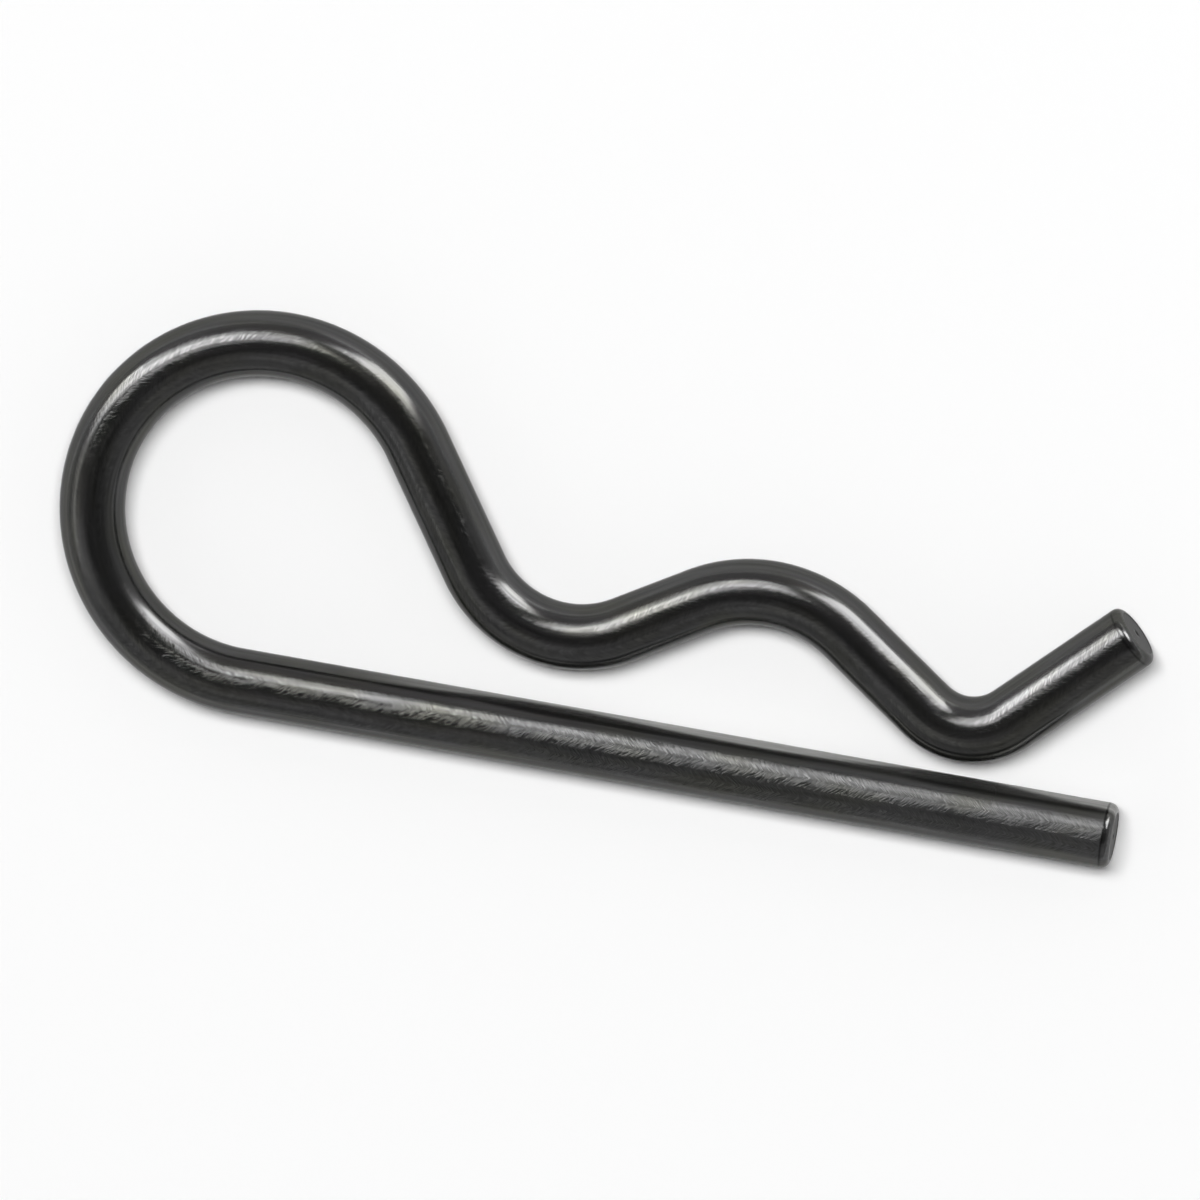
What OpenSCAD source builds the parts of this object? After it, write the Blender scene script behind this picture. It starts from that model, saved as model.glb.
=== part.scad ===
// Hitch pin clip: one length of round spring wire, bent flat in one plane.
// The straight leg goes through the cross hole of a hitch pin, and the wavy
// leg snaps over the outside of that pin, where the hump sits on it.
//
// The origin is where the hitch pin's axis crosses the axis of the straight
// leg, under the crest of the hump. +X runs along the straight leg to its
// free end, +Y points from the straight leg to the wavy leg, and the wire
// lies on a surface at z = -wire_d / 2. Lengths are in millimetres.

/* [Wire] */
// Diameter of the round wire
wire_d = 4; // [2.5:0.1:5.5]
// Radius of the rounded edge round each cut end
end_r = 0.5; // [0.1:0.05:1]

/* [Hitch pin] */
// Diameter of the hitch pin that the clip locks
pin_d = 18; // [15:0.5:24]
// Play between the hitch pin and the hump that sits on it
seat_play = 0.1; // [0:0.05:0.5]

/* [Straight leg] */
// Length of the straight leg, from the eye to its free end
leg_l = 54.3; // [40:0.5:90]

/* [Eye] */
// Inside diameter of the eye
eye_d = 17; // [12:0.5:28]

/* [Wavy leg] */
// Slope of the flank that comes down from the eye, in degrees to the straight leg
flank_slope = 56.5; // [45:0.5:72]
// Inside radius of the dip between the flank and the rise
dip_r = 5.1; // [3:0.1:9]
// Gap between the dip and the straight leg
dip_gap = 2.3; // [1:0.1:4]
// Slope of the rise from the dip to the hump, in degrees
rise_slope = 31; // [20:0.5:42]
// Inside radius of the hump, where the hitch pin sits
hump_r = 6.5; // [4:0.1:10]
// Slope of the fall from the hump to the throat, in degrees
fall_slope = 35.5; // [25:0.5:50]
// Inside radius of the tight bend at the throat
throat_r = 2.15; // [1:0.05:5]
// Gap of the throat, between the tight bend and the straight leg
throat_gap = 0.95; // [0.2:0.05:2.5]

/* [Flared tip] */
// Slope of the tip that opens the throat for the hitch pin, in degrees
tip_slope = 44; // [25:0.5:70]
// Straight length of the tip
tip_l = 9.4; // [4:0.1:20]

/* [Hidden] */
$fn = 96;

wire_r = wire_d / 2;

// Bend radii to the middle of the wire
eye_mid = eye_d / 2 + wire_r;
dip_mid = dip_r + wire_r;
hump_mid = hump_r + wire_r;
throat_mid = throat_r + wire_r;

// Heights of the middle of the wire over the axis of the straight leg
dip_y = wire_d + dip_gap;
hump_y = pin_d / 2 + seat_play + wire_r;
throat_y = wire_d + throat_gap;

// Straight lengths that join the bends at those heights
flank_l = (eye_mid * (1 + cos(flank_slope)) - dip_y - dip_mid * (1 - cos(flank_slope))) / sin(flank_slope);
rise_l = (hump_y - dip_y - (dip_mid + hump_mid) * (1 - cos(rise_slope))) / sin(rise_slope);
fall_l = (hump_y - throat_y - (hump_mid + throat_mid) * (1 - cos(fall_slope))) / sin(fall_slope);

// Millimetres in a decimetre. The wire is bent in decimetres and enlarged at the
// end, so that the faces where two of its pieces meet are the same face.
dm = 100;

// Place of the eye that puts the crest of the hump at x = 0
eye_x = -(eye_mid * sin(flank_slope) + flank_l * cos(flank_slope)
    + dip_mid * (sin(flank_slope) + sin(rise_slope))
    + rise_l * cos(rise_slope) + hump_mid * sin(rise_slope));

// The wire is bent along +X. Each piece below starts at the origin of its own
// frame, and carries its children in the frame at its far end.

module straight(l) {
    rotate([0, 90, 0])
        cylinder(h = l / dm, r = wire_r / dm);
    translate([l / dm, 0, 0])
        children();
}

// A bend to the left, towards +Y
module bend_left(mid_r, turn) {
    translate([0, mid_r / dm, 0]) {
        rotate_extrude(start = -90, angle = turn)
            translate([mid_r / dm, 0])
                circle(r = wire_r / dm);
        rotate([0, 0, turn])
            translate([0, -mid_r / dm, 0])
                children();
    }
}

// A bend to the right, towards -Y
module bend_right(mid_r, turn) {
    mirror([0, 1, 0])
        bend_left(mid_r, turn)
            mirror([0, 1, 0])
                children();
}

// The last straight length, cut square with its edge rounded
module cut_end(l) {
    rotate([0, 90, 0])
        rotate_extrude() {
            square([wire_r, l - end_r] / dm);
            square([wire_r - end_r, l] / dm);
            translate([wire_r - end_r, l - end_r] / dm)
                circle(r = end_r / dm);
        }
}

module straight_leg() {
    cut_end(leg_l);
}

// Eye, flank, dip, rise, hump, fall, throat and flared tip, in that order
module wavy_leg() {
    rotate([0, 0, 180])
        bend_right(eye_mid, 180 + flank_slope)
            straight(flank_l)
                bend_left(dip_mid, flank_slope + rise_slope)
                    straight(rise_l)
                        bend_right(hump_mid, rise_slope + fall_slope)
                            straight(fall_l)
                                bend_left(throat_mid, fall_slope + tip_slope)
                                    cut_end(tip_l);
}

module clip() {
    color("dimgray")
        translate([eye_x, 0, 0])
            scale(dm) {
                straight_leg();
                wavy_leg();
            }
}

clip();
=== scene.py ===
"""Hitch R clip pin of blackened spring wire, lying flat on a pale floor and seen from above."""
from __future__ import annotations

import logging
import math
from dataclasses import dataclass, field
from enum import Enum

import bmesh
import bpy
from mathutils import Matrix, Vector


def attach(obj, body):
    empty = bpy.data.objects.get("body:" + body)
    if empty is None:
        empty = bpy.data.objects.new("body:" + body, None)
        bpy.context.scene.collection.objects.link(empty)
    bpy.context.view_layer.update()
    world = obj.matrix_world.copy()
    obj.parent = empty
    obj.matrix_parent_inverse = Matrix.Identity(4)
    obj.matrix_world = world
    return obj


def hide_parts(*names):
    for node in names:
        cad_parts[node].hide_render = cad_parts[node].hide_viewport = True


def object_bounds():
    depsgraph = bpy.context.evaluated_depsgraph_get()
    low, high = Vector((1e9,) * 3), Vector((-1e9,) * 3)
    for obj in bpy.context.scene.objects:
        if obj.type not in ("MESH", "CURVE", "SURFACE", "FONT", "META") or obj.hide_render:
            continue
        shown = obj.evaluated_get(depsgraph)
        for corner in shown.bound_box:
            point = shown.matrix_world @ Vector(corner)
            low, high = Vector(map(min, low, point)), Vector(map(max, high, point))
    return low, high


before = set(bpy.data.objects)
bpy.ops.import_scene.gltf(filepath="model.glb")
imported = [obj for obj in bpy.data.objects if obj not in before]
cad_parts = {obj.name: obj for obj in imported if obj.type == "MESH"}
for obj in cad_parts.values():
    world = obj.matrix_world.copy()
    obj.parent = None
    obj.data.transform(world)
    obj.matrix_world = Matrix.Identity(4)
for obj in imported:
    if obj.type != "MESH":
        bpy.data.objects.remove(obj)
CAD_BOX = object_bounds()

MM = 0.001
LOG = logging.getLogger("clip")


class Hand(Enum):
    """Which way the wire turns as it is fed through the bender."""

    LEFT = 1
    RIGHT = -1


def linear(hex_colour: str) -> tuple[float, float, float, float]:
    """Turns an sRGB colour to the linear one that a shader reads.

    Args:
        hex_colour: the colour as "#rrggbb".

    Returns:
        Linear red, green, blue and an alpha of 1.
    """
    parts = [int(hex_colour[i:i + 2], 16) / 255 for i in (1, 3, 5)]
    red, green, blue = (p / 12.92 if p <= 0.04045 else ((p + 0.055) / 1.055) ** 2.4 for p in parts)
    return red, green, blue, 1.0


def add_node(tree: bpy.types.NodeTree, kind: str, inputs: dict | None = None, **settings) -> bpy.types.Node:
    """Adds one shader node, with its settings and links.

    Args:
        tree: the node tree.
        kind: the node's type without its ShaderNode prefix.
        inputs: by socket name or number, a value to set or an output socket to link.
        settings: the node's own properties.

    Returns:
        The new node.
    """
    node = tree.nodes.new("ShaderNode" + kind)
    for name, value in settings.items():
        setattr(node, name, value)
    for socket, value in (inputs or {}).items():
        if isinstance(value, bpy.types.NodeSocket):
            tree.links.new(value, node.inputs[socket])
        else:
            node.inputs[socket].default_value = value
    return node


def new_material(name: str) -> tuple[bpy.types.Material, bpy.types.NodeTree]:
    """Makes an empty node material.

    Args:
        name: the material's name.

    Returns:
        The material and its node tree.
    """
    material = bpy.data.materials.new(name)
    material.use_nodes = True
    material.node_tree.nodes.clear()
    return material, material.node_tree


@dataclass(frozen=True)
class BlackOxideDrawnSteel:
    """Black oxide on cold-drawn carbon spring wire, hot blackened after bending.

    The oxide is a thin dark film over smooth metal, so the eye sees long crisp reflections in a dark
    neutral grey. The drawing die leaves fine lines along the wire, and the feed rolls leave a faint
    herringbone scuff on its top and bottom that only a highlight picks out. The film scatters a
    little light, and oil makes it slightly yellower in patches. The leg is duller towards its free
    end, where it slides in its hole. A lighter film on the leg's flank that faces the wavy leg is a
    painted reflection of the floor, and a darker film towards the wire's sides is painted shade.
    Tumbling has polished the shoulders of both ends, and a thin dark line of painted shade marks
    where they start.
    """

    name: str = "black_oxide_drawn_spring_steel"
    oxide: str = "#4f4f4f"
    oily_oxide: str = "#4e4e4a"
    # Painted reflection: a lighter film on a strip of the leg's flank stands in for the floor's reflection.
    painted_floor_reflection: str = "#9c9c9a"
    edge: str = "#cbcbcb"
    metallic: float = 0.92
    roughness: float = 0.19
    scuffed_roughness: float = 0.22
    rubbed_roughness: float = 0.29
    rubbed_scuff_roughness: float = 0.5
    rubbed_l_mm: float = 46.0
    # The painted reflection strip: its full length, fade, half width and soft edge. The scuff also fades from
    # its length on.
    reflection_strip_l_mm: float = 35.0
    reflection_strip_fade_mm: float = 13.0
    reflection_strip_half_w_mm: float = 1.0
    reflection_strip_soft_mm: float = 0.2
    wire_r_mm: float = 2.0
    wire_l_mm: float = 150.0
    shoulder_mm: float = 0.52
    # Painted shade: a thin dark line where each end's shoulder starts.
    painted_shade_line_mm: float = 0.1
    painted_shade_line_level: float = 0.35
    # The die's lines are about 0.02 mm wide, too fine to show, so they are drawn ten times coarser.
    draw_line_mm: float = 0.22
    draw_line_l_mm: float = 6.0
    draw_line_height_mm: float = 0.003
    draw_line_levels: tuple[float, float] = (0.8, 1.2)
    # The scuff's strokes are about 0.03 mm wide and half a millimetre long, and drawn twice as wide.
    scuff_mm: float = 0.062
    scuff_l_mm: float = 0.45
    scuff_height_mm: float = 0.006
    scuff_fold_mm: float = 0.62
    scuff_lean: float = 1.15
    scuff_wander_mm: float = 0.35
    scuff_reach_mm: tuple[float, float] = (1.05, 1.4)
    scuff_levels: tuple[float, float] = (1.14, 0.7)
    # The scuff is deeper on the leg than on the rest of the wire.
    faint_scuff: float = 0.45
    worn_patch_mm: float = 2.5
    worn_patch_l_mm: float = 9.0
    oily_patch_mm: float = 1.2
    oily_patch_l_mm: float = 5.0
    # Painted shade: the film darkens towards the wire's sides, away from its top and bottom.
    painted_side_shade: float = 0.84

    def build(self) -> bpy.types.Material:
        """Builds the material.

        Returns:
            The material, which reads the piece's attribute "unbent", in millimetres.
        """
        material, tree = new_material(self.name)
        unbent = add_node(tree, "Attribute", attribute_name="unbent").outputs["Vector"]
        along = add_node(tree, "SeparateXYZ", {"Vector": unbent}).outputs["X"]
        from_end = add_node(tree, "Math", {0: along, 1: self.wire_l_mm / 2},
                            operation="PINGPONG").outputs["Value"]
        body = add_node(tree, "MapRange", {"Value": from_end, "From Min": self.shoulder_mm - 0.05,
                                           "From Max": self.shoulder_mm + 0.1}).outputs["Result"]
        lines = self.stretched_noise(tree, unbent, self.draw_line_l_mm, self.draw_line_mm, (0.3, 0.7))
        worn = self.stretched_noise(tree, unbent, self.worn_patch_l_mm, self.worn_patch_mm, (0.1, 0.5))
        worn_body = add_node(tree, "Math", {0: worn, 1: body}, operation="MULTIPLY")
        strokes = add_node(tree, "Math", {0: self.herringbone(tree, unbent), 1: worn_body.outputs["Value"]},
                           operation="MULTIPLY").outputs["Value"]
        line_bump = add_node(tree, "Bump", {"Height": lines, "Distance": self.draw_line_height_mm * MM,
                                            "Strength": 1.0})
        scuffed = add_node(tree, "MapRange", {"Value": along, "From Min": self.reflection_strip_l_mm,
                                              "From Max": self.rubbed_l_mm * 1.5,
                                              "To Min": 1.0, "To Max": self.faint_scuff})
        scuff_bump = add_node(tree, "Bump", {"Height": strokes, "Distance": self.scuff_height_mm * MM,
                                             "Strength": scuffed.outputs["Result"],
                                             "Normal": line_bump.outputs["Normal"]})
        steel = add_node(tree, "BsdfPrincipled", {
            "Base Color": self.film_colour(tree, unbent, lines, strokes, from_end), "Metallic": self.metallic,
            "Roughness": self.gloss(tree, along, strokes, body), "Specular Tint": linear(self.edge),
            "Normal": scuff_bump.outputs["Normal"]})
        add_node(tree, "OutputMaterial", {"Surface": steel.outputs["BSDF"]})
        return material

    def film_colour(self, tree: bpy.types.NodeTree, unbent: bpy.types.NodeSocket, lines: bpy.types.NodeSocket,
                    strokes: bpy.types.NodeSocket, from_end: bpy.types.NodeSocket) -> bpy.types.NodeSocket:
        """Colours the film: a painted reflection strip on the leg, darker strokes, and painted shade on sides
        and shoulders.

        Args:
            tree: the material's node tree.
            unbent: the place on the wire before bending, in millimetres.
            lines: the draw lines, 0 to 1.
            strokes: the scuff's strokes, 0 to 1.
            from_end: the distance from the nearer end, in millimetres.

        Returns:
            The film's colour.
        """
        oily = self.stretched_noise(tree, unbent, self.oily_patch_l_mm, self.oily_patch_mm, (0.42, 0.7))
        film = add_node(tree, "Mix", {"Factor": oily, "A": linear(self.oxide), "B": linear(self.oily_oxide)},
                        data_type="RGBA").outputs["Result"]
        # Painted reflection: a lighter strip on the leg's flank paints in the floor's reflection there.
        film = add_node(tree, "Mix", {"Factor": self.painted_reflection_strip(tree, unbent), "A": film,
                                      "B": linear(self.painted_floor_reflection)}, data_type="RGBA").outputs["Result"]
        # Painted shade: a thin dark line round the wire where each shoulder starts.
        past_shoulder = add_node(tree, "Math", {0: from_end, 1: self.shoulder_mm}, operation="SUBTRACT")
        off_line = add_node(tree, "Math", {0: past_shoulder.outputs["Value"]}, operation="ABSOLUTE")
        flank = self.round_the_wire(tree, unbent)[1]
        # Shades: draw lines, scuff strokes, painted shade towards the wire's sides, and a painted shade line
        # at the shoulders.
        for value, start, end, from_level, to_level in (
                (lines, 0.0, 1.0, *self.draw_line_levels), (strokes, 0.0, 1.0, *self.scuff_levels),
                (flank, self.wire_r_mm * 0.5, self.wire_r_mm * 0.85, 1.0, self.painted_side_shade),
                (off_line.outputs["Value"], 0.0, self.painted_shade_line_mm, self.painted_shade_line_level, 1.0)):
            shade = add_node(tree, "MapRange", {"Value": value, "From Min": start, "From Max": end,
                                                "To Min": from_level, "To Max": to_level})
            film = add_node(tree, "VectorMath", {0: film, "Scale": shade.outputs["Result"]},
                            operation="SCALE").outputs["Vector"]
        return film

    def painted_reflection_strip(self, tree: bpy.types.NodeTree, unbent: bpy.types.NodeSocket) -> bpy.types.NodeSocket:
        """Marks a strip on the leg's flank that faces the wavy leg, where a lighter film paints in the
        floor's reflection, fading out towards the eye.

        Args:
            tree: the material's node tree.
            unbent: the place on the wire before bending, in millimetres.

        Returns:
            1 on the painted reflection strip, and 0 elsewhere.
        """
        around = self.round_the_wire(tree, unbent)[0]
        along = add_node(tree, "SeparateXYZ", {"Vector": unbent}).outputs["X"]
        past_middle = add_node(tree, "Math", {0: around, 1: self.wire_r_mm * math.pi / 2}, operation="ADD")
        off_middle = add_node(tree, "Math", {0: past_middle.outputs["Value"]}, operation="ABSOLUTE")
        band = add_node(tree, "MapRange", {"Value": off_middle.outputs["Value"],
                                           "From Min": self.reflection_strip_half_w_mm - self.reflection_strip_soft_mm,
                                           "From Max": self.reflection_strip_half_w_mm + self.reflection_strip_soft_mm,
                                           "To Min": 1.0, "To Max": 0.0})
        reach = add_node(tree, "MapRange", {"Value": along, "From Min": self.reflection_strip_l_mm,
                                            "From Max": self.reflection_strip_l_mm + self.reflection_strip_fade_mm,
                                            "To Min": 1.0, "To Max": 0.0})
        painted_strip = add_node(tree, "Math", {0: band.outputs["Result"], 1: reach.outputs["Result"]},
                        operation="MULTIPLY")
        return painted_strip.outputs["Value"]

    def gloss(self, tree: bpy.types.NodeTree, along: bpy.types.NodeSocket, strokes: bpy.types.NodeSocket,
              body: bpy.types.NodeSocket) -> bpy.types.NodeSocket:
        """Makes the leg duller towards its free end, the strokes duller still, and the shoulders crisp.

        Args:
            tree: the material's node tree.
            along: the distance from the leg's free end, in millimetres.
            strokes: the scuff's strokes, 0 to 1.
            body: 0 on the ends' shoulders and 1 on the rest of the wire.

        Returns:
            The roughness.
        """
        between, inside = (
            add_node(tree, "MapRange", {"Value": along, "From Max": self.rubbed_l_mm, "To Min": rubbed,
                                        "To Max": clean})
            for rubbed, clean in ((self.rubbed_roughness, self.roughness),
                                  (self.rubbed_scuff_roughness, self.scuffed_roughness)))
        wire = add_node(tree, "MapRange", {"Value": strokes, "To Min": between.outputs["Result"],
                                           "To Max": inside.outputs["Result"]})
        whole = add_node(tree, "MapRange", {"Value": body, "To Min": self.roughness,
                                            "To Max": wire.outputs["Result"]})
        return whole.outputs["Result"]

    def stretched_noise(self, tree: bpy.types.NodeTree, unbent: bpy.types.NodeSocket, length: float,
                        width: float, spread: tuple[float, float]) -> bpy.types.NodeSocket:
        """Adds a noise drawn out along the wire.

        Args:
            tree: the material's node tree.
            unbent: the place on the wire before bending, in millimetres.
            length: a mark's length along the wire, in millimetres.
            width: its width across the wire, in millimetres.
            spread: the noise's levels that become 0 and 1.

        Returns:
            The noise, 0 to 1.
        """
        scaled = add_node(tree, "Mapping", {"Vector": unbent, "Scale": (1 / length, 1 / width, 1 / width)})
        noise = add_node(tree, "TexNoise", {"Vector": scaled.outputs["Vector"], "Scale": 1.0, "Detail": 2.5})
        level = add_node(tree, "MapRange", {"Value": noise.outputs["Fac"], "From Min": spread[0],
                                            "From Max": spread[1]})
        return level.outputs["Result"]

    def round_the_wire(self, tree: bpy.types.NodeTree,
                       unbent: bpy.types.NodeSocket) -> tuple[bpy.types.NodeSocket, bpy.types.NodeSocket]:
        """Measures round the wire's skin, in millimetres.

        Args:
            tree: the material's node tree.
            unbent: the place on the wire before bending, in millimetres.

        Returns:
            The way round from the top, and the way to the nearer of the top and the bottom.
        """
        place = add_node(tree, "SeparateXYZ", {"Vector": unbent})
        angle = add_node(tree, "Math", {0: place.outputs["Y"], 1: place.outputs["Z"]}, operation="ARCTAN2")
        around = add_node(tree, "Math", {0: angle.outputs["Value"], 1: self.wire_r_mm}, operation="MULTIPLY")
        flank = add_node(tree, "Math", {0: around.outputs["Value"], 1: self.wire_r_mm * math.pi / 2},
                         operation="PINGPONG")
        return around.outputs["Value"], flank.outputs["Value"]

    def herringbone(self, tree: bpy.types.NodeTree, unbent: bpy.types.NodeSocket) -> bpy.types.NodeSocket:
        """Adds the feed rolls' scuff: short strokes that lean the other way across each fold line.

        Args:
            tree: the material's node tree.
            unbent: the place on the wire before bending, in millimetres.

        Returns:
            The strokes, 0 to 1, on the wire's top and bottom.
        """
        wander = add_node(tree, "TexNoise", {"Vector": unbent, "Scale": 0.9, "Detail": 1.0})
        shift = add_node(tree, "VectorMath", {0: wander.outputs["Color"], 1: (0.5, 0.5, 0.5)},
                         operation="SUBTRACT")
        moved = add_node(tree, "VectorMath", {0: shift.outputs["Vector"], 1: (self.scuff_wander_mm,) * 3,
                                              2: unbent}, operation="MULTIPLY_ADD").outputs["Vector"]
        around, flank = self.round_the_wire(tree, moved)
        along = add_node(tree, "SeparateXYZ", {"Vector": moved}).outputs["X"]
        fold = add_node(tree, "Math", {0: flank, 1: self.scuff_fold_mm}, operation="PINGPONG")
        lean = add_node(tree, "Math", {0: fold.outputs["Value"], 1: self.scuff_lean, 2: along},
                        operation="MULTIPLY_ADD")
        stroke = add_node(tree, "CombineXYZ", {"X": lean.outputs["Value"], "Y": around, "Z": 0.0})
        scaled = add_node(tree, "Mapping", {"Vector": stroke.outputs["Vector"],
                                            "Scale": (1 / self.scuff_mm, 1 / self.scuff_l_mm, 1.0)})
        noise = add_node(tree, "TexNoise", {"Vector": scaled.outputs["Vector"], "Scale": 1.0, "Detail": 0.4})
        level = add_node(tree, "MapRange", {"Value": noise.outputs["Fac"], "From Min": 0.38, "From Max": 0.6})
        rolled = add_node(tree, "MapRange", {"Value": flank, "From Min": self.scuff_reach_mm[0],
                                             "From Max": self.scuff_reach_mm[1], "To Min": 1.0,
                                             "To Max": 0.0})
        strokes = add_node(tree, "Math", {0: level.outputs["Result"], 1: rolled.outputs["Result"]},
                           operation="MULTIPLY")
        return strokes.outputs["Value"]


@dataclass(frozen=True)
class ShearedSteelEnd:
    """Black oxide over the sheared face at each end of the wire.

    The shear leaves a flat face, duller than the drawn skin, with faint arcs across it.
    """

    name: str = "black_oxide_sheared_end"
    oxide: str = "#434342"
    edge: str = "#dcdcdc"
    roughness: float = 0.4
    arc_mm: float = 0.22
    arc_height_mm: float = 0.004
    arc_centre_mm: tuple[float, float] = (2.6, 1.4)
    arc_levels: tuple[float, float] = (0.82, 1.14)

    def build(self) -> bpy.types.Material:
        """Builds the material.

        Returns:
            The material, which reads the piece's attribute "unbent", in millimetres.
        """
        material, tree = new_material(self.name)
        unbent = add_node(tree, "Attribute", attribute_name="unbent").outputs["Vector"]
        # The arcs' centre lies beyond the rim. A wave texture of scale 0.314 repeats once a millimetre.
        centred = add_node(tree, "Mapping", {"Vector": unbent, "Location": (0.0, *self.arc_centre_mm),
                                             "Scale": (0.0, 1.0, 1.0)})
        arcs = add_node(tree, "TexWave", {"Vector": centred.outputs["Vector"], "Scale": 0.314 / self.arc_mm,
                                          "Distortion": 3.0, "Detail": 2.0, "Detail Scale": 1.4},
                        wave_type="RINGS", rings_direction="SPHERICAL").outputs["Fac"]
        shade = add_node(tree, "MapRange", {"Value": arcs, "To Min": self.arc_levels[0],
                                            "To Max": self.arc_levels[1]})
        tint = add_node(tree, "VectorMath", {0: linear(self.oxide)[:3], "Scale": shade.outputs["Result"]},
                        operation="SCALE")
        bump = add_node(tree, "Bump", {"Height": arcs, "Distance": self.arc_height_mm * MM, "Strength": 1.0})
        steel = add_node(tree, "BsdfPrincipled", {
            "Base Color": tint.outputs["Vector"], "Metallic": 1.0, "Roughness": self.roughness,
            "Specular Tint": linear(self.edge), "Normal": bump.outputs["Normal"]})
        add_node(tree, "OutputMaterial", {"Surface": steel.outputs["BSDF"]})
        return material


@dataclass(frozen=True)
class MattWhitePaper:
    """A sheet of matt white studio paper for the floor."""

    name: str = "matt_white_studio_paper"
    white: str = "#fdfdfd"

    def build(self) -> bpy.types.Material:
        """Builds the material.

        Returns:
            The material.
        """
        material, tree = new_material(self.name)
        paper = add_node(tree, "BsdfDiffuse", {"Color": linear(self.white), "Roughness": 0.0})
        add_node(tree, "OutputMaterial", {"Surface": paper.outputs["BSDF"]})
        return material


@dataclass
class WireBender:
    """Feeds a round wire and bends it in one plane, ring by ring. Lengths here are in metres."""

    wire_r: float
    start: Vector
    heading: float
    sides: int = 96
    ring_gap: float = 0.3 * MM
    bm: bmesh.types.BMesh = field(default_factory=bmesh.new)
    fed: float = 0.0

    def __post_init__(self) -> None:
        """Makes the first ring, across the wire's start."""
        self.at = self.start.copy()
        self.unbent = self.bm.verts.layers.float_vector.new("unbent")
        across = Matrix.Rotation(self.heading, 4, "Z") @ Matrix.Rotation(math.pi / 2, 4, "Y")
        ring = bmesh.ops.create_circle(self.bm, cap_ends=False, segments=self.sides, radius=self.wire_r,
                                       matrix=Matrix.Translation(self.at) @ across)
        self.ring = list({edge for vert in ring["verts"] for edge in vert.link_edges})
        self.first_ring = self.ring
        self.first_heading = self.heading
        self.mark(ring["verts"])

    def go_back(self) -> None:
        """Goes back to where the wire starts."""
        self.at = self.start.copy()
        self.heading = self.first_heading
        self.fed = 0.0
        self.ring = self.first_ring

    def ahead(self) -> Vector:
        """Returns the direction in which the wire runs here."""
        return Vector((math.cos(self.heading), math.sin(self.heading), 0.0))

    def left(self) -> Vector:
        """Returns the direction to the wire's left, in the plane of the clip."""
        return Vector((-math.sin(self.heading), math.cos(self.heading), 0.0))

    def mark(self, verts: list[bmesh.types.BMVert]) -> None:
        """Notes where each point lay on the wire before it was bent, in millimetres.

        Args:
            verts: points of the wire near its present place.
        """
        for vert in verts:
            offset = vert.co - self.at
            along = self.fed + offset.dot(self.ahead())
            vert[self.unbent] = Vector((along, offset.dot(self.left()), offset.z)) / MM

    def push_ring(self) -> list[bmesh.types.BMVert]:
        """Extrudes the last ring in place.

        Returns:
            The new ring's points, still where the old ones are.
        """
        made = bmesh.ops.extrude_edge_only(self.bm, edges=self.ring)["geom"]
        verts = [part for part in made if isinstance(part, bmesh.types.BMVert)]
        fresh = set(verts)
        self.ring = [part for part in made
                     if isinstance(part, bmesh.types.BMEdge) and fresh.issuperset(part.verts)]
        return verts

    def feed(self, length: float, gap: float | None = None) -> None:
        """Feeds the wire straight ahead.

        Args:
            length: how far.
            gap: the distance between rings, where it isn't the usual one.
        """
        steps = max(1, round(length / (gap or self.ring_gap)))
        step = self.ahead() * (length / steps)
        for _ in range(steps):
            verts = self.push_ring()
            bmesh.ops.translate(self.bm, vec=step, verts=verts)
            self.at += step
            self.fed += length / steps
            self.mark(verts)

    def bend(self, mid_r: float, degrees: float, hand: Hand) -> None:
        """Bends the wire round a former.

        Args:
            mid_r: the radius at the wire's axis.
            degrees: how far it turns.
            hand: which way it turns.
        """
        length = math.radians(degrees) * mid_r
        steps = max(math.ceil(degrees / 2.5), round(length / self.ring_gap))
        turn = hand.value * math.radians(degrees) / steps
        centre = self.at + self.left() * (hand.value * mid_r)
        spin = Matrix.Rotation(turn, 3, "Z")
        for _ in range(steps):
            verts = self.push_ring()
            bmesh.ops.rotate(self.bm, cent=centre, matrix=spin, verts=verts)
            self.at = centre + spin @ (self.at - centre)
            self.heading += turn
            self.fed += length / steps
            self.mark(verts)


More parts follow.
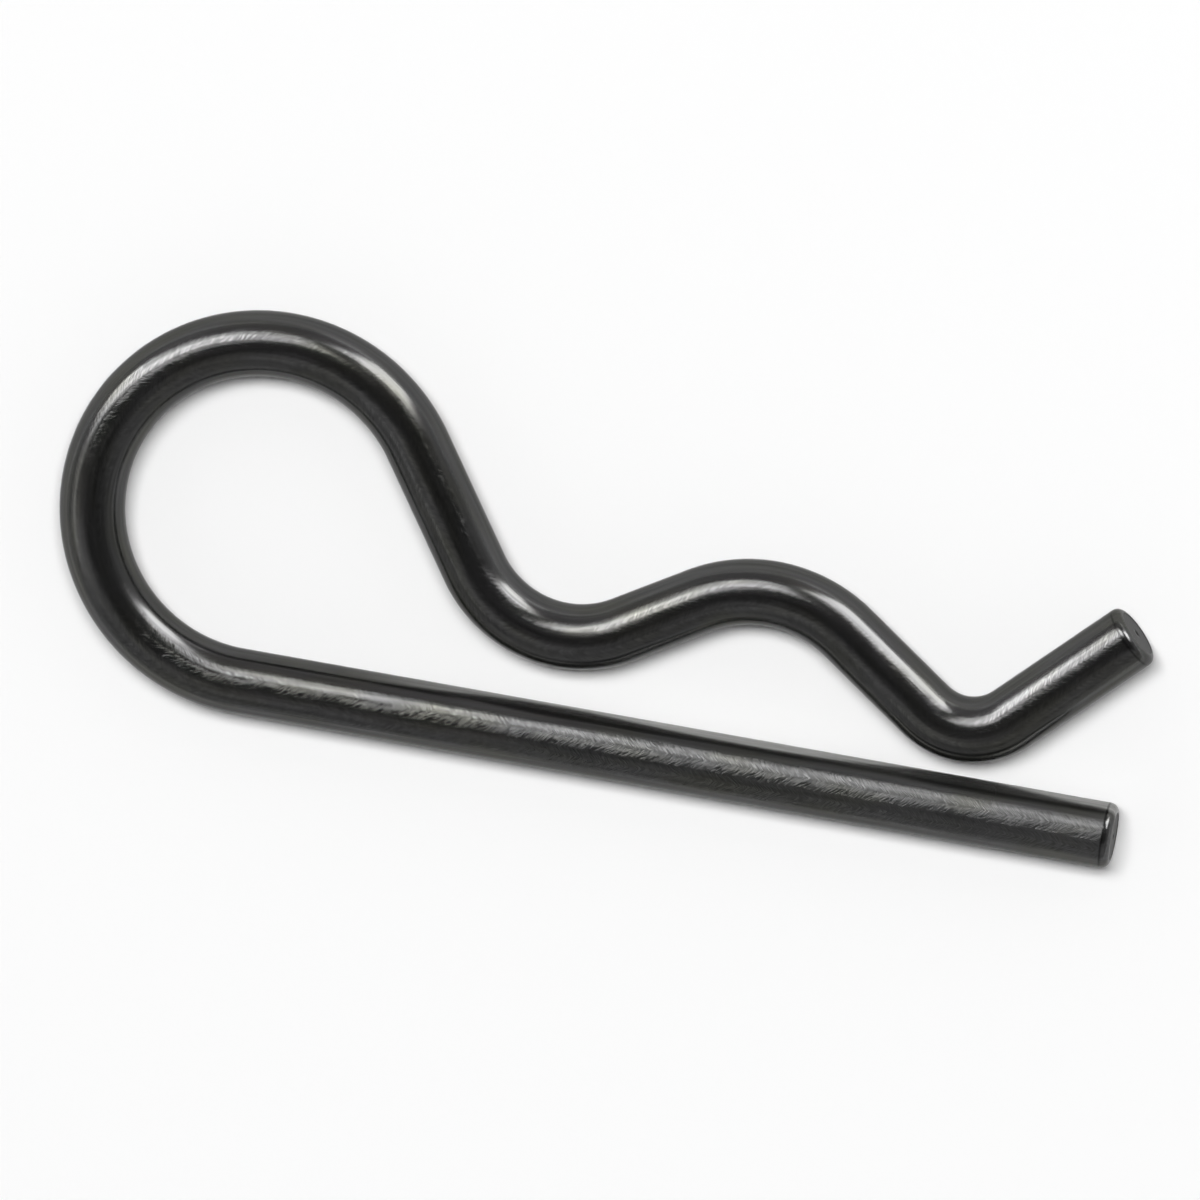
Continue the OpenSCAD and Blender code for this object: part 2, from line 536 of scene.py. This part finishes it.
@dataclass
class HitchClip:
    """The clip: one wire bent to a straight leg, an eye and a wavy leg. Sizes in millimetres, degrees."""

    wire_d: float = 4.0
    end_r: float = 0.5
    plain_l: float = 1.0
    leg_l: float = 54.3
    leg_end_x: float = 22.799
    eye_mid: float = 10.5
    flank_slope: float = 56.5
    flank_l: float = 8.171
    dip_mid: float = 7.1
    rise_slope: float = 31.0
    rise_l: float = 4.993
    hump_mid: float = 8.5
    fall_slope: float = 35.5
    fall_l: float = 6.541
    throat_mid: float = 4.15
    tip_slope: float = 44.0
    tip_l: float = 9.4
    face_sink: float = 0.03
    pit_depth: float = 0.05
    end_steps: int = 8

    def build(self) -> bpy.types.Object:
        """Builds the wire's mesh and dresses it.

        Returns:
            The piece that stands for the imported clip.
        """
        bender = WireBender(wire_r=self.wire_d / 2 * MM, start=Vector((self.leg_end_x * MM, 0.0, 0.0)),
                            heading=math.pi)
        bender.feed(self.plain_l * MM, gap=self.plain_l * MM)
        bender.feed((self.leg_l - self.plain_l) * MM)
        bender.bend(self.eye_mid * MM, 180.0 + self.flank_slope, Hand.RIGHT)
        bender.feed(self.flank_l * MM)
        bender.bend(self.dip_mid * MM, self.flank_slope + self.rise_slope, Hand.LEFT)
        bender.feed(self.rise_l * MM)
        bender.bend(self.hump_mid * MM, self.rise_slope + self.fall_slope, Hand.RIGHT)
        bender.feed(self.fall_l * MM)
        bender.bend(self.throat_mid * MM, self.fall_slope + self.tip_slope, Hand.LEFT)
        bender.feed((self.tip_l - self.plain_l) * MM)
        bender.feed(self.plain_l * MM, gap=self.plain_l * MM)
        wire_l = bender.fed
        LOG.info("wire: %.1f mm long before bending", wire_l / MM)
        self.cut(bender, bender.ring, bender.ahead())
        bender.go_back()
        self.cut(bender, bender.ring, -bender.ahead())
        self.unwrap(bender)
        mesh = bpy.data.meshes.new("clip_wire")
        bender.bm.to_mesh(mesh)
        bender.bm.free()
        mesh.materials.append(BlackOxideDrawnSteel(wire_l_mm=wire_l / MM).build())
        mesh.materials.append(ShearedSteelEnd().build())
        piece = bpy.data.objects.new("clip_wire", mesh)
        bpy.context.scene.collection.objects.link(piece)
        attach(piece, "root")
        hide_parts("clip")
        return piece

    def cut(self, bender: WireBender, rim: list[bmesh.types.BMEdge], out: Vector) -> None:
        """Closes one end of the wire with a tumbled shoulder and a sheared face.

        Args:
            bender: the wire, at this end.
            rim: the edges of the end's ring.
            out: the direction out of the wire.
        """
        bm = bender.bm
        cap = bmesh.ops.contextual_create(bm, geom=rim)["faces"][0]
        bmesh.ops.bevel(bm, geom=list(cap.edges), offset=self.end_r * MM, offset_type="OFFSET",
                        segments=self.end_steps, profile=0.5, affect="EDGES", material=-1)
        cap = min((face for face in bm.faces if len(face.verts) == bender.sides),
                  key=lambda face: (face.calc_center_median() - bender.at).length)
        if cap.normal.dot(out) < 0.0:
            cap.normal_flip()
        # A narrow rim, the step down to the face, the face, and the small pit in its middle.
        flat = [cap]
        for thickness, depth in ((0.02, 0.0), (0.04, -self.face_sink), (0.03, 0.0), (0.5, 0.0), (0.5, 0.0),
                                 (0.2, 0.0), (0.05, -self.pit_depth)):
            flat += bmesh.ops.inset_region(bm, faces=[cap], thickness=thickness * MM, depth=depth * MM,
                                           use_even_offset=True)["faces"]
        for face in flat:
            face.material_index = 1
        bender.mark([vert for vert in bm.verts if (vert.co - bender.at).length < self.wire_d * MM])

    def unwrap(self, bender: WireBender) -> None:
        """Gives the wire a UV map in millimetres, with its seam along the underside.

        Args:
            bender: the finished wire.
        """
        bm = bender.bm
        bmesh.ops.recalc_face_normals(bm, faces=bm.faces)
        sheet = bm.loops.layers.uv.new("UVMap")
        turn = math.pi * self.wire_d
        for face in bm.faces:
            face.smooth = True
            around = []
            for loop in face.loops:
                place = loop.vert[bender.unbent]
                around.append(math.atan2(place.y, place.z) * self.wire_d / 2)
            wraps = max(around) - min(around) > turn / 2
            for loop, arc in zip(face.loops, around):
                place = loop.vert[bender.unbent]
                if face.material_index:
                    loop[sheet].uv = (place.y + place.x, place.z)
                else:
                    loop[sheet].uv = (place.x, arc + turn if wraps and arc < 0 else arc)


class Lights(Enum):
    """What a panel is for: the reflections on the metal, or the paper and the shadow on it."""

    METAL = "metal"
    PAPER = "paper"


@dataclass(frozen=True)
class Panel:
    """One soft rectangular panel, parallel to the plane that it is placed in.

    Its size and its place across and up are those of its outline on a plane one metre off. It may
    hang farther off, and is then as much larger, so that it looks the same from the clip.
    """

    name: str
    width: float
    depth: float
    across: float
    up: float
    radiance: float
    turn: float = 0.0
    distance: float = 1.0
    lights: Lights = Lights.METAL

    def hang(self, target: Vector, axes: Matrix) -> None:
        """Hangs the panel.

        Args:
            target: the point that all panels are placed from.
            axes: a turn whose columns are the plane's right, up and outward directions.
        """
        data = bpy.data.lights.new(self.name, "AREA")
        data.shape = "RECTANGLE"
        data.size = self.width * self.distance
        data.size_y = self.depth * self.distance
        data.energy = self.radiance * math.pi * data.size * data.size_y
        lamp = bpy.data.objects.new(self.name, data)
        place = target + axes @ Vector((self.across, self.up, 1.0)) * self.distance
        spin = Matrix.Rotation(math.radians(self.turn), 3, "Z")
        lamp.matrix_world = Matrix.Translation(place) @ (axes @ spin).to_4x4()
        lamp.visible_camera = False
        lamp.visible_diffuse = self.lights is Lights.PAPER
        lamp.visible_glossy = self.lights is Lights.METAL
        bpy.context.scene.collection.objects.link(lamp)


@dataclass
class Studio:
    """The pale floor, the soft lights and the camera. Lengths in metres, angles in degrees."""

    look_from: tuple[float, float, float] = (0.118645, 0.206998, 0.971120)
    roll: float = 10.06
    target: tuple[float, float, float] = (-0.010346, 0.008859, 0.0)
    camera_distance: float = 2.0
    frame_width: float = 0.072727
    sensor: float = 36.0
    floor_half: float = 3.0
    overhead_tilt: float = 20.0
    room_levels: tuple[tuple[float, float], ...] = (
        (0.03, 1.0), (0.16, 0.45), (0.44, 0.36), (0.78, 0.06), (1.0, 0.04))
    # The softboxes draw the highlights, and the walls lighten the wire's sides that face away from them.
    panels: tuple[Panel, ...] = (
        Panel("softbox_far_left", 1.25, 0.75, -2.15, 0.88, 12.5, turn=-28.0),
        Panel("softbox_left", 1.2, 0.66, -1.0, 0.53, 9.7, turn=-2.0),
        Panel("softbox_middle", 0.35, 0.5, -0.22, 0.56, 7.6),
        Panel("softbox_right", 1.75, 0.75, 1.1, 1.2, 8.8, turn=42.0),
        Panel("right_wall", 4.0, 4.4, 2.9, 4.8, 1.4),
        Panel("left_wall", 1.2, 1.6, -2.6, -0.5, 2.2),
        Panel("low_wall", 3.4, 1.9, -0.6, -1.65, 0.25),
        Panel("low_left_wall", 2.2, 1.5, -1.6, -1.2, 0.5),
    )
    overhead: Panel = Panel("overhead", 0.6, 0.26, 0.0, 0.0, 18.8, distance=2.5, lights=Lights.PAPER)

    def build(self) -> None:
        """Builds the whole studio round the clip."""
        axes = self.facing(Vector(self.look_from)) @ Matrix.Rotation(math.radians(self.roll), 3, "Z")
        target = Vector(self.target)
        self.make_camera(target, axes)
        self.make_floor()
        for panel in self.panels:
            panel.hang(target, axes)
        tilt = math.radians(self.overhead_tilt)
        self.overhead.hang(target, self.facing(Vector((0.0, math.sin(tilt), math.cos(tilt)))))
        self.make_room()

    def facing(self, outward: Vector) -> Matrix:
        """Works out a level plane's directions.

        Args:
            outward: the direction away from the clip.

        Returns:
            A turn whose columns are right, up and outward, with right level with the clip's leg.
        """
        back = outward.normalized()
        right = (Vector((1.0, 0.0, 0.0)) - back * back.x).normalized()
        return Matrix((right, back.cross(right), back)).transposed()

    def make_camera(self, target: Vector, axes: Matrix) -> None:
        """Puts the camera at the photograph's angle, with a long lens because its lines stay parallel.

        Args:
            target: the middle of the picture.
            axes: a turn whose columns are the picture's right, up and outward directions.
        """
        data = bpy.data.cameras.new("camera")
        data.sensor_width = self.sensor
        data.lens = self.sensor * self.camera_distance / self.frame_width
        data.clip_start = 0.1
        data.clip_end = 10.0
        camera = bpy.data.objects.new("camera", data)
        place = target + axes.col[2] * self.camera_distance
        camera.matrix_world = Matrix.Translation(place) @ axes.to_4x4()
        bpy.context.scene.collection.objects.link(camera)
        bpy.context.scene.camera = camera

    def make_floor(self) -> None:
        """Lays the floor just under the clip."""
        bm = bmesh.new()
        bmesh.ops.create_grid(bm, x_segments=1, y_segments=1, size=self.floor_half,
                              matrix=Matrix.Translation((0.0, 0.0, CAD_BOX[0].z)))
        mesh = bpy.data.meshes.new("floor")
        bm.to_mesh(mesh)
        bm.free()
        mesh.materials.append(MattWhitePaper().build())
        floor = bpy.data.objects.new("floor", mesh)
        bpy.context.scene.collection.objects.link(floor)

    def make_room(self) -> None:
        """Surrounds the scene with pale walls that darken evenly to a dim ceiling."""
        world = bpy.data.worlds.new("room")
        world.use_nodes = True
        tree = world.node_tree
        tree.nodes.clear()
        toward = add_node(tree, "TexCoord").outputs["Generated"]
        height = add_node(tree, "SeparateXYZ", {"Vector": toward}).outputs["Z"]
        fall = add_node(tree, "ValToRGB", {"Fac": height})
        ramp = fall.color_ramp
        for number, (position, level) in enumerate(self.room_levels):
            step = ramp.elements[number] if number < 2 else ramp.elements.new(position)
            step.position = position
            step.color = (level, level, level, 1.0)
        air = add_node(tree, "Background", {"Color": fall.outputs["Color"], "Strength": 1.0})
        add_node(tree, "OutputWorld", {"Surface": air.outputs["Background"]})
        bpy.context.scene.world = world


def main() -> None:
    logging.basicConfig(level=logging.INFO, format="%(message)s")
    bpy.context.scene.view_settings.view_transform = "Standard"
    Studio().build()
    LOG.info("studio: floor, softbox, room and camera")
    clip = HitchClip().build()
    LOG.info("%s: %d faces", clip.name, len(clip.data.polygons))


if __name__ == "__main__":
    main()
